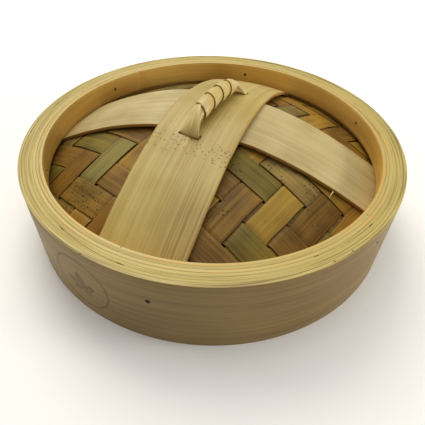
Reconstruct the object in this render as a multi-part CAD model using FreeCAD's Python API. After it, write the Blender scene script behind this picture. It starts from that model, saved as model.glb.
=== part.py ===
import FreeCAD, Part
import math
import os

# Lid of a bamboo steamer, in millimetres and degrees.
# The origin is the centre of the lower rim edge, +Z points up to the handle, and the upper strap
# runs along Y.  Bent bamboo plies make the wall, a twill mat domes across it, two straps arch
# over the mat, and one bound strip is the handle.

V = FreeCAD.Vector
UP = V(0, 0, 1)
OUT = "parts"

# --- wall: bent plies with scarfed ends -------------------------------------------------------
outer_radius = 100.0
wall_height = 44.0
hoop_count = 5
hoop_thickness = 1.68
ring_count = 2
ring_thickness = 1.5
upper_ring_height = 13.5
seat_depth = 8.0            # the lower inner rings stop this far up, and leave the seat
seat_ease = 0.7             # the seat is opened this much past the innermost hoop
scarf_length = 30.0
scarf_tip = 0.3             # a feathered end is cut off at this thickness
scarf_gap = 0.1
glue_line = 0.04            # between two plies
first_scarf_turn = 118.0
scarf_step = 67.0           # each further ply is lapped somewhere else
upper_scarf_turn = 80.0
lower_scarf_turn = 200.0
lower_scarf_step = 95.0

# --- bamboo pegs through the plies ------------------------------------------------------------
peg_radius = 0.95
peg_fit = 0.03              # radial room round a peg
peg_recess = 0.35           # a peg's ends lie this far under both faces
rim_pegs = [(38.4, 6.6), (98.0, 7.0), (159.3, 6.8), (216.8, 10.0), (338.0, 7.5)]  # azimuth, depth
hoop_pegs = [(277.6, 15.0)]                 # this one holds the hoops only, below the upper rings
lower_peg_count = 6
lower_peg_first = 8.0
lower_peg_depth = 7.0       # the blind pegs of the lower rings end inside the hoops

# --- mat: 2/2 twill of split strips ------------------------------------------------------------
strip_pitch = 14.0
strip_gap = 1.0             # between two strips of one set
strip_thickness = 0.8
crossing_room = 0.22        # air between two strips where they cross
weave_turn = 70.6           # the first set of strips runs this way, from +X
first_set_shift = -2.7      # where the middle strip of each set lies, off the centre
second_set_shift = -2.2
twill_repeat = 4
twill_over = 2
mat_power = 1.85            # of the dome's outline; 2 would be a parabola
crest_room = 0.3            # between the dome's top, the handle's ends on it and the lower strap
mat_edge_room = 0.2         # between the mat's round edge and the hoops
mat_slack = 0.35            # between the mat and the strap ends
ramp_stations = (-1.6, -0.5, 0.5, 1.6)      # where a strip changes sides, about a cell's border
cell_stations = (-2.2, 2.2)                 # about a cell's middle

# --- straps --------------------------------------------------------------------------------------
strap_thickness = 1.8
strap_fit = 0.1             # between a strap end and the rings above it
strap_power = 1.8
upper_half_width = 21.2
upper_rise = 29.4
lower_half_width = 20.2
crossing_gap = 0.2          # between the two straps where they cross
lower_shift = 2.5
lower_turn = 2.5
strap_crown = 1.2           # a split culm keeps this much of its roundness across
crown_fade_power = 4
pinch_room = 0.566          # between the lower strap's bent-down edges and the falling upper strap
pinch_reach = 18.0
strap_stations = 16         # from the middle to one end
strap_lanes = 7

# --- handle: a core loop through two slits, and its binding --------------------------------------
front_foot = (-2.4, -23.9)
rear_foot = (4.0, 25.0)
handle_lift = 6.1           # of the bound part's centre line over the strap, at the middle
handle_power = 5
core_fill = 0.78            # of the room inside the binding
core_foot_width = 9.6
core_thickness = 0.9
core_room = 0.15            # above the mat and under the lower strap
core_end_gap = 6.0          # between its two ends under the lower strap
core_tail_shares = (0.42, 0.3, 0.18, 0.07)  # stations of a turned-in end, from its tip to its leg
core_bound_stations = 11    # between the two legs
core_bound_start = 0.1      # share of the span where the bound part's stations start
leg_offset = 0.6            # the legs pass the straps this far outside the arch's feet
slit_length = 11.6
slit_width = 3.2
binding_radius = 4.65
binding_thickness = 1.1
binding_pitch = 8.3
binding_gap = 0.3
binding_margin = 4.5        # of bare core at each foot
binding_facets = 12         # stations in one turn
binding_span_faces = 3      # knots between two cuts of its long faces
length_steps = 400          # for measuring the handle's centre line
probe = 0.05                # for the direction of the handle's centre line

# --- worked out ------------------------------------------------------------------------------------
hoop_inside = outer_radius - hoop_count * hoop_thickness
opening_radius = hoop_inside - ring_count * ring_thickness
seat_radius = hoop_inside + seat_ease
groove_top = wall_height - upper_ring_height
strap_edge_top = groove_top - strap_fit
strip_width = strip_pitch - strip_gap
lower_rise = upper_rise - strap_thickness - crossing_gap
lower_far_edge = lower_half_width + lower_shift
pinch_depth = upper_rise * (lower_far_edge / opening_radius) ** strap_power - strap_crown + pinch_room
mat_rise = lower_rise - core_thickness - 2 * core_room - crest_room
mat_thickness = 2 * strip_thickness + crossing_room
mat_edge_top = strap_edge_top - strap_thickness - mat_slack
mat_radius = hoop_inside - mat_edge_room
strips_each_side = int((mat_radius - abs(first_set_shift)) / strip_pitch)
mat_dip = mat_rise * ((mat_radius / opening_radius) ** mat_power - 1.0)
groove_bottom = mat_edge_top - mat_dip - mat_thickness - strap_fit
hole_overrun = ring_thickness / 2
reach = 2 * outer_radius    # longer than anything that is cut
strip_lift = (strip_thickness + crossing_room) / 2


def arch(share, power):
    """Share of the full rise at a share of the way to the wall; it keeps falling past the wall."""
    return 1.0 - abs(share) ** power


def strap_top(along, sideways, across, rise):
    """Height of a strap's top face; across runs from -1 to 1 over its width, sideways is in mm."""
    share = along / math.sqrt(opening_radius ** 2 - sideways ** 2)
    fade = max(arch(share, crown_fade_power), 0.0)
    return strap_edge_top + rise * arch(share, strap_power) + strap_crown * (1.0 - across ** 2) * fade


def upper_strap_top(along, across):
    return strap_top(along, across * upper_half_width, across, upper_rise)


def lower_strap_top(along, across):
    sideways = across * lower_half_width + lower_shift
    pinch = pinch_depth * across ** 2 * math.exp(-(along / pinch_reach) ** 2)
    return strap_top(along, sideways, across, lower_rise) - pinch


def mat_top(x, y):
    return mat_edge_top + mat_rise * arch(math.hypot(x, y) / opening_radius, mat_power)


def spline_knots(pole_count, degree):
    knots = list(range(pole_count - degree + 1))
    mults = [1] * len(knots)
    mults[0] = degree + 1
    mults[-1] = degree + 1
    return [float(knot) for knot in knots], mults


def spline_surface(grid, degree_along, degree_across):
    """A surface whose poles are grid[station][lane]."""
    knots_along, mults_along = spline_knots(len(grid), degree_along)
    knots_across, mults_across = spline_knots(len(grid[0]), degree_across)
    surface = Part.BSplineSurface()
    surface.buildFromPolesMultsKnots(grid, mults_along, mults_across, knots_along, knots_across,
                                     False, False, degree_along, degree_across)
    return surface


def spread(low, high, count):
    return [low + (high - low) * index / (count - 1) for index in range(count)]


def turned(shape, degrees):
    shape.rotate(V(0, 0, 0), UP, degrees)
    return shape


def disc(radius):
    return Part.makeCylinder(radius, reach)


# --- wall --------------------------------------------------------------------------------------------
def scarfed_ring(ring_outside, thickness, low, high, turn):
    """A strip bent to a ring: each end tapers, and the two tapers lap with a thin gap."""
    ring_inside = ring_outside - thickness + glue_line
    lap = scarf_length / ring_outside
    nick = scarf_gap / ring_outside
    half_gap = scarf_gap / 2

    def at(radius, angle):
        return V(radius * math.cos(angle), radius * math.sin(angle), low)

    def slope(offset, start):
        low_r = ring_inside + scarf_tip + offset
        high_r = ring_outside - scarf_tip + offset
        return Part.Arc(at(low_r, start), at((low_r + high_r) / 2, start + lap / 2),
                        at(high_r, start + lap)).toShape()

    def round_face(radius, start, stop):
        middle = (start + stop) / 2
        first = Part.Arc(at(radius, start), at(radius, (start + middle) / 2), at(radius, middle))
        last = Part.Arc(at(radius, middle), at(radius, (middle + stop) / 2), at(radius, stop))
        return [first.toShape(), last.toShape()]

    def step(angle, from_radius, to_radius):
        return Part.makeLine(at(from_radius, angle), at(to_radius, angle))

    full = 2 * math.pi
    edges = round_face(ring_inside, nick, full)
    edges.append(step(full, ring_inside, ring_inside + scarf_tip + half_gap))
    edges.append(slope(half_gap, 0.0))
    edges.append(step(lap, ring_outside - scarf_tip + half_gap, ring_outside))
    edges += round_face(ring_outside, lap + nick, lap + full)
    edges.append(step(lap + nick, ring_outside, ring_outside - scarf_tip - half_gap))
    edges.append(slope(-half_gap, nick))
    edges.append(step(nick, ring_inside + scarf_tip - half_gap, ring_inside))
    outline = Part.Wire(Part.__sortEdges__(edges))
    ring = Part.Face(outline).extrude(UP * (high - low))
    return turned(ring, turn)


def radial_pin(radius, inner, outer, azimuth, height):
    pin = Part.makeCylinder(radius, outer - inner, V(inner, 0, height), V(1, 0, 0))
    return turned(pin, azimuth)


def peg_places():
    """Every peg as (inner end, outer end, azimuth, height)."""
    whole = [(opening_radius, outer_radius, azimuth, wall_height - depth) for azimuth, depth in rim_pegs]
    outer_only = [(hoop_inside, outer_radius, azimuth, wall_height - depth)
                  for azimuth, depth in hoop_pegs]
    middle = (seat_depth + groove_bottom) / 2
    blind = []
    for index in range(lower_peg_count):
        azimuth = lower_peg_first + index * 360.0 / lower_peg_count
        blind.append((opening_radius, opening_radius + lower_peg_depth, azimuth, middle))
    return whole, outer_only, blind


def peg_holes():
    whole, outer_only, blind = peg_places()
    radius = peg_radius + peg_fit
    holes = []
    for inner, outer, azimuth, height in whole + outer_only:
        holes.append(radial_pin(radius, inner - hole_overrun, outer + hole_overrun, azimuth, height))
    for inner, outer, azimuth, height in blind:
        holes.append(radial_pin(radius, inner - hole_overrun, outer, azimuth, height))
    return holes


def pegs(places, blind_end):
    outer_recess = peg_fit if blind_end else peg_recess
    solids = []
    for inner, outer, azimuth, height in places:
        solids.append(radial_pin(peg_radius, inner + peg_recess, outer - outer_recess, azimuth, height))
    return Part.makeCompound(solids)


def hoops():
    """The full-height plies, from the outside in; the last one is opened out for the seat."""
    made = {}
    for index in range(hoop_count):
        outside = outer_radius - index * hoop_thickness
        turn = first_scarf_turn + index * scarf_step
        hoop = scarfed_ring(outside, hoop_thickness, 0.0, wall_height, turn)
        if index == hoop_count - 1:
            hoop = hoop.cut(Part.makeCylinder(seat_radius, seat_depth))
        made["hoop_%d" % (index + 1)] = hoop
    return made


def inner_rings(prefix, low, high, turn, step):
    made = {}
    for index in range(ring_count):
        outside = hoop_inside - index * ring_thickness
        ring = scarfed_ring(outside, ring_thickness, low, high, turn + index * step)
        made["%s_%d" % (prefix, index + 1)] = ring
    return made


# --- mat ---------------------------------------------------------------------------------------------
def first_set_over(first, second):
    """Whether strip number first of one set passes over strip number second of the other."""
    return (first + second) % twill_repeat >= twill_over


def mat_strip(offset, cross_shift, lies_over):
    """One strip along local X at a sideways offset, passing over and under the other set."""
    stations = []
    for cell in range(-strips_each_side - 1, strips_each_side + 2):
        middle = cross_shift + cell * strip_pitch
        lift = strip_lift if lies_over(cell) else -strip_lift
        for place in cell_stations:
            stations.append((middle + place, lift))
        for place in ramp_stations:
            following = strip_lift if lies_over(cell + 1) else -strip_lift
            border = middle + strip_pitch / 2
            stations.append((border + place, lift if place < 0 else following))
    middle_top = -mat_thickness / 2 + strip_thickness / 2
    lanes = spread(offset - strip_width / 2, offset + strip_width / 2, 4)
    grid = []
    for along, lift in stations:
        grid.append([V(along, lane, mat_top(along, lane) + middle_top + lift) for lane in lanes])
    strip = spline_surface(grid, 2, 2).toShape().extrude(UP * -strip_thickness)
    return strip.common(disc(mat_radius))


def mat():
    made = {}
    numbers = range(-strips_each_side, strips_each_side + 1)
    for number in numbers:
        offset = first_set_shift + number * strip_pitch
        strip = mat_strip(offset, second_set_shift, lambda cell: first_set_over(number, cell))
        name = "mat_strip_a%02d" % (number + strips_each_side + 1)
        made[name] = turned(strip, weave_turn)
    for number in numbers:
        offset = second_set_shift + number * strip_pitch
        # Local +X of the second set is the first set's +Y, so its own offset is counted backwards.
        strip = mat_strip(-offset, first_set_shift, lambda cell: not first_set_over(cell, number))
        name = "mat_strip_b%02d" % (number + strips_each_side + 1)
        made[name] = turned(strip, weave_turn + 90.0)
    return made


# --- straps -------------------------------------------------------------------------------------------
def strap(half_width, height):
    """A strap along local X, arched lengthwise and slightly crowned across."""
    grid = []
    for along in spread(-outer_radius, outer_radius, 2 * strap_stations - 1):
        lanes = spread(-1.0, 1.0, strap_lanes)
        grid.append([V(along, lane * half_width, height(along, lane)) for lane in lanes])
    return spline_surface(grid, 2, 2).toShape().extrude(UP * -strap_thickness)


def foot_heading():
    return math.atan2(rear_foot[1] - front_foot[1], rear_foot[0] - front_foot[0])


def handle_span():
    return math.hypot(rear_foot[0] - front_foot[0], rear_foot[1] - front_foot[1])


def handle_point(distance, height):
    """A place in the handle's upright plane, by its distance from the front foot."""
    heading = foot_heading()
    return V(front_foot[0] + distance * math.cos(heading),
             front_foot[1] + distance * math.sin(heading), height)


def slit(distance):
    cutter = Part.makeBox(slit_width, slit_length, reach, V(-slit_width / 2, -slit_length / 2, 0))
    turned(cutter, math.degrees(foot_heading()))
    place = handle_point(distance, 0)
    cutter.translate(place)
    return cutter


def upper_strap():
    made = turned(strap(upper_half_width, upper_strap_top), 90.0)
    made = made.common(disc(mat_radius))
    for distance in (-leg_offset, handle_span() + leg_offset):
        made = made.cut(slit(distance))
    return made


def lower_strap():
    made = strap(lower_half_width, lower_strap_top)
    made.translate(V(0, lower_shift, 0))
    return turned(made, lower_turn).common(disc(mat_radius))


# --- handle -------------------------------------------------------------------------------------------
def ribbon(stations, knots_a_face):
    """A solid strip through four corners at each station: two outer, then two inner."""
    faces = []
    spans = len(stations) - 2
    cuts = list(range(0, spans, knots_a_face)) + [spans]
    for first, second in ((0, 1), (1, 3), (3, 2), (2, 0)):
        whole = spline_surface([[row[first], row[second]] for row in stations], 2, 1)
        for start, stop in zip(cuts, cuts[1:]):
            piece = whole.copy()
            piece.segment(float(start), float(stop), 0.0, 1.0)
            faces.append(piece.toShape())
    for row in (stations[0], stations[-1]):
        faces.append(spline_surface([[row[0], row[1]], [row[2], row[3]]], 1, 1).toShape())
    shell = Part.makeShell(faces)
    shell.sewShape()
    solid = Part.Solid(shell)
    if solid.Volume < 0:
        solid.reverse()
    return solid


def strap_under(distance):
    """The upper strap's top face below a point of the handle."""
    place = handle_point(distance, 0)
    return upper_strap_top(place.y, place.x / upper_half_width)


def lift_at(distance):
    """How far the centre line stands over the strap: steep at the feet, level between them."""
    share = 2 * distance / handle_span() - 1.0
    return handle_lift * max(arch(share, handle_power), 0.0)


def handle_axis(distance):
    return strap_under(distance) + lift_at(distance)


def binding_outside(distance):
    """The bound part is thick in the middle and thins to its feet."""
    return binding_radius * lift_at(distance) / handle_lift


def axis_frame(distance):
    """Centre of the handle's centre line, and the directions to its side and up from it."""
    here = handle_point(distance, handle_axis(distance))
    ahead = handle_point(distance + probe, handle_axis(distance + probe))
    behind = handle_point(distance - probe, handle_axis(distance - probe))
    forward = (ahead - behind).normalize()
    side = forward.cross(UP).normalize()
    return here, side, side.cross(forward)


def core_under(distance):
    """Middle height of the core where it passes between the mat and the lower strap."""
    place = handle_point(distance, 0)
    return mat_top(place.x, place.y) + core_room + core_thickness / 2


def handle_core():
    """One strip: up through the front slit, over, down the rear slit, and under the lower strap."""
    span = handle_span()
    leg_top = 2 * core_thickness
    path = []
    for share in core_tail_shares:
        distance = share * (span - core_end_gap)
        path.append((distance, core_under(distance), core_foot_width))
    path.append((-leg_offset, core_under(0.0), core_foot_width))
    path.append((-leg_offset, strap_under(0.0) + leg_top, core_foot_width))
    for share in spread(core_bound_start, 1.0 - core_bound_start, core_bound_stations):
        distance = share * span
        room = binding_outside(distance) - binding_thickness
        path.append((distance, handle_axis(distance), 2 * room * core_fill))
    path.append((span + leg_offset, strap_under(span) + leg_top, core_foot_width))
    path.append((span + leg_offset, core_under(span), core_foot_width))
    for share in reversed(core_tail_shares):
        distance = span - share * (span - core_end_gap)
        path.append((distance, core_under(distance), core_foot_width))

    heading = foot_heading()
    side = V(math.sin(heading), -math.cos(heading), 0)
    stations = []
    for index, (distance, height, width) in enumerate(path):
        before = path[max(index - 1, 0)]
        after = path[min(index + 1, len(path) - 1)]
        forward = handle_point(after[0], after[1]) - handle_point(before[0], before[1])
        normal = side.cross(forward.normalize())
        bend = forward_of(path, index - 1).getAngle(forward_of(path, index))
        stretch = 1.0 / max(math.cos(bend / 2), 0.5)
        middle = handle_point(distance, height)
        thick = normal * (core_thickness / 2 * stretch)
        wide = side * (width / 2)
        stations.append([middle + thick - wide, middle + thick + wide,
                         middle - thick - wide, middle - thick + wide])
    return ribbon(stations, binding_span_faces)


def forward_of(path, index):
    """Direction of the path's run from one of its points to the next, or of its nearest run."""
    start = min(max(index, 0), len(path) - 2)
    first = handle_point(path[start][0], path[start][1])
    last = handle_point(path[start + 1][0], path[start + 1][1])
    return (last - first).normalize()


def arc_table():
    """Distances from the front foot at even steps of length along the handle's centre line."""
    span = handle_span()
    table = [(0.0, 0.0)]
    length = 0.0
    last = handle_point(0.0, handle_axis(0.0))
    for index in range(1, length_steps + 1):
        distance = span * index / length_steps
        here = handle_point(distance, handle_axis(distance))
        length += (here - last).Length
        last = here
        table.append((length, distance))
    return table


def at_length(table, length):
    for (low, start), (high, stop) in zip(table, table[1:]):
        if low <= length <= high:
            return start + (stop - start) * (length - low) / (high - low)
    return table[-1][1] if length > 0 else 0.0


def handle_binding():
    """A strip wound edge to edge round the core, left-handed from the front foot."""
    table = arc_table()
    half = (binding_pitch - binding_gap) / 2
    pole_scale = 1.0 / math.cos(math.pi / binding_facets)
    wound = table[-1][0] - 2 * (binding_margin + half)
    count = int(round(wound / binding_pitch * binding_facets)) + 1
    stations = []
    for index in range(count):
        angle = 2 * math.pi * index / binding_facets
        middle = binding_margin + half + binding_pitch * index / binding_facets
        row = []
        for depth in (0.0, binding_thickness):
            for edge in (-half, half):
                distance = at_length(table, middle + edge)
                centre, side, rise = axis_frame(distance)
                around = rise * math.cos(angle) - side * math.sin(angle)
                radius = binding_outside(distance) - depth
                row.append(centre + around * (radius * pole_scale))
        stations.append(row)
    return ribbon(stations, binding_span_faces)


# --- assembly -------------------------------------------------------------------------------------------
def build():
    nodes = hoops()
    nodes.update(inner_rings("upper_ring", groove_top, wall_height, upper_scarf_turn, scarf_step))
    nodes.update(inner_rings("lower_ring", seat_depth, groove_bottom, lower_scarf_turn,
                             lower_scarf_step))
    holes = peg_holes()
    for name in list(nodes):
        for hole in holes:
            nodes[name] = nodes[name].cut(hole)
    whole, outer_only, blind = peg_places()
    nodes["rim_pegs"] = pegs(whole + outer_only, False)
    nodes["lower_ring_pegs"] = pegs(blind, True)
    nodes.update(mat())
    nodes["upper_strap"] = upper_strap()
    nodes["lower_strap"] = lower_strap()
    nodes["handle_core"] = handle_core()
    nodes["handle_binding"] = handle_binding()
    return nodes


def main():
    os.makedirs(OUT, exist_ok=True)
    for name, shape in build().items():
        shape.exportStep(os.path.join(OUT, name + ".step"))
        print(name, len(shape.Solids), "solid", shape.isValid(), round(shape.Volume, 1))


main()
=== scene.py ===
import json
import logging
import math
import random
from collections.abc import Callable
from dataclasses import dataclass
from enum import Enum
from typing import NamedTuple

import bpy
from mathutils import Matrix, Vector


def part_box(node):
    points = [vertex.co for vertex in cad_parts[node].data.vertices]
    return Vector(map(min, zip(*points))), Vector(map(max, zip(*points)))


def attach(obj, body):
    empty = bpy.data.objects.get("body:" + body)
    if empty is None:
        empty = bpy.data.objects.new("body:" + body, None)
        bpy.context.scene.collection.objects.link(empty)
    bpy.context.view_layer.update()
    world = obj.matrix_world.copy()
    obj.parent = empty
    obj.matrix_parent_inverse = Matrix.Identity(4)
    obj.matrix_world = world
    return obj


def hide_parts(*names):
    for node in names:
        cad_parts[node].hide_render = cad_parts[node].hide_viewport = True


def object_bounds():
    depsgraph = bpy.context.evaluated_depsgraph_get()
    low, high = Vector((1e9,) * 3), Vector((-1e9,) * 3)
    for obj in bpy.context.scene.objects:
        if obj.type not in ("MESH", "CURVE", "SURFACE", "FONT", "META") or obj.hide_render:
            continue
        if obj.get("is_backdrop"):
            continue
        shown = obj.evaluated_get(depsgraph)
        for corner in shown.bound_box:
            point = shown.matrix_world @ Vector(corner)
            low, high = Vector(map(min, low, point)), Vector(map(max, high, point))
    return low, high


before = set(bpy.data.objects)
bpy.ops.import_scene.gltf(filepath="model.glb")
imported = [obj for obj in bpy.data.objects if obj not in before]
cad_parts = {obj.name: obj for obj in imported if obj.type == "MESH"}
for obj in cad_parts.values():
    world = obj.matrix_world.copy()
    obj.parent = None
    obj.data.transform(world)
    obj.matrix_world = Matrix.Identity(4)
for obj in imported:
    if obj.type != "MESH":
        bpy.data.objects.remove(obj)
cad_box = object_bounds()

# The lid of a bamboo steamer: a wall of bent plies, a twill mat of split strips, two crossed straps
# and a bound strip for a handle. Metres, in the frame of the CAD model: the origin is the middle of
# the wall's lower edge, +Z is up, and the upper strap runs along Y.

MM = 0.001
TAU = 2.0 * math.pi
ROOT = "root"
GRAIN_MAP = "grain"         # UV map of a strip: metres along it and across it
EDGE_ROOM = "edge_room"     # attribute of a strip: metres to its nearer long edge
SMOOTH_ANGLE = math.radians(38.0)
STRAP_THICKNESS = 1.8 * MM
STRAP_ROOM = 0.1 * MM       # between a strap and the rings above it
SPLIT_WAVES = (2, 5, 9)     # of a split strip's edges
SHAVED_WAVES = (3, 7, 13)   # of a shaved strap's edges

log = logging.getLogger("steamer_lid")

Place = Callable[[float, float], Vector]
Socket = bpy.types.NodeSocket


# --- small tools ---------------------------------------------------------------------------------------
def linear(code: str) -> tuple[float, float, float, float]:
    """Turn an sRGB hex colour into linear light.

    Args:
        code: Six hex digits after a hash sign.

    Returns:
        Red, green, blue and an alpha of one.
    """
    shares = [int(code[start:start + 2], 16) / 255.0 for start in (1, 3, 5)]
    red, green, blue = [s / 12.92 if s <= 0.04045 else ((s + 0.055) / 1.055) ** 2.4 for s in shares]
    return red, green, blue, 1.0


def add_node(tree: bpy.types.NodeTree, kind: str, inputs: dict, **settings: object) -> bpy.types.Node:
    """Add one shader node.

    Args:
        tree: The material's node tree.
        kind: The node's type name.
        inputs: A socket to link from, or a value, for each input by its name or number.
        settings: The node's own properties.

    Returns:
        The new node.
    """
    made = tree.nodes.new(kind)
    for name, value in settings.items():
        setattr(made, name, value)
    for name, value in inputs.items():
        if isinstance(value, Socket):
            tree.links.new(value, made.inputs[name])
        else:
            made.inputs[name].default_value = value
    return made


def smooth(share: float) -> float:
    """Ease from 0 to 1 over a share from 0 to 1."""
    held = min(max(share, 0.0), 1.0)
    return held * held * (3.0 - 2.0 * held)


def wander(seed: int, reach: float, waves: tuple[int, ...] = (1, 2, 3, 5)) -> Callable[[float], float]:
    """Make a hand-cut irregularity.

    Args:
        seed: Seed of its phases.
        reach: The most that it strays.
        waves: How often each of its waves turns over the whole length.

    Returns:
        A function of the place along the piece, from 0 to 1.
    """
    chance = random.Random(seed)
    terms = [(wave, chance.uniform(0.0, TAU), chance.uniform(0.4, 1.0)) for wave in waves]
    whole = sum(size for _, _, size in terms)

    def stray(share: float) -> float:
        swings = (size * math.sin(TAU * wave * share + phase) for wave, phase, size in terms)
        return reach * sum(swings) / whole

    return stray


def start_piece() -> None:
    """Leave nothing selected, so that the next operator acts on the new piece alone."""
    if bpy.context.object is not None and bpy.context.object.mode != "OBJECT":
        bpy.ops.object.mode_set(mode="OBJECT")
    bpy.ops.object.select_all(action="DESELECT")


def take(piece: bpy.types.Object) -> None:
    """Make a piece the only selected and active one."""
    start_piece()
    piece.select_set(True)
    bpy.context.view_layer.objects.active = piece


def apply_modifier(piece: bpy.types.Object, kind: str, **settings: object) -> None:
    """Add a modifier to a piece and apply it.

    Args:
        piece: The piece.
        kind: The modifier's type.
        settings: The modifier's properties.
    """
    take(piece)
    faces = len(piece.data.polygons)
    added = piece.modifiers.new(kind.lower(), kind)
    for name, value in settings.items():
        setattr(added, name, value)
    bpy.ops.object.modifier_apply(modifier=added.name)
    if len(piece.data.polygons) < faces / 2:
        raise RuntimeError(piece.name + " lost its faces to " + kind)


def join(name: str, pieces: list[bpy.types.Object]) -> bpy.types.Object:
    """Join pieces into one.

    Args:
        name: The joined piece's name.
        pieces: The pieces.

    Returns:
        The joined piece.
    """
    start_piece()
    for piece in pieces:
        piece.select_set(True)
    bpy.context.view_layer.objects.active = pieces[0]
    bpy.ops.object.join()
    pieces[0].name = name
    return pieces[0]


def start_grid(name: str, segments: int, lanes: int) -> bpy.types.Object:
    """Start a piece as a flat grid from -1 to 1 each way, with a map.

    Args:
        name: The piece's name.
        segments: Its divisions along.
        lanes: Its divisions across.

    Returns:
        The grid.
    """
    start_piece()
    bpy.ops.mesh.primitive_grid_add(x_subdivisions=segments, y_subdivisions=lanes, size=2.0,
                                    calc_uvs=True)
    grid = bpy.context.object
    grid.name = name
    return grid


def dress(piece: bpy.types.Object, material: bpy.types.Material, slot: str, *nodes: str) -> None:
    """Give a finished piece its material, and its place in the frame.

    Args:
        piece: The piece.
        material: Its finish.
        slot: The record's material slot; not used.
        nodes: The CAD nodes that it stands for.
    """
    take(piece)
    bpy.ops.object.transform_apply(location=True, rotation=True, scale=True)
    bpy.ops.object.shade_smooth_by_angle(angle=SMOOTH_ANGLE)
    piece.data.materials.clear()
    piece.data.materials.append(material)
    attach(piece, ROOT)
    if nodes:
        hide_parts(*nodes)
    log.info("%s: %d faces", piece.name, len(piece.data.polygons))


# --- finishes ------------------------------------------------------------------------------------------
class Slot(str, Enum):
    """The record's material slots."""

    HOOP = "hoop_bamboo"
    RING = "ring_bamboo"
    PEG = "peg_bamboo"
    MAT = "mat_bamboo"
    STRAP = "strap_bamboo"
    HANDLE = "handle_bamboo"


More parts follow.
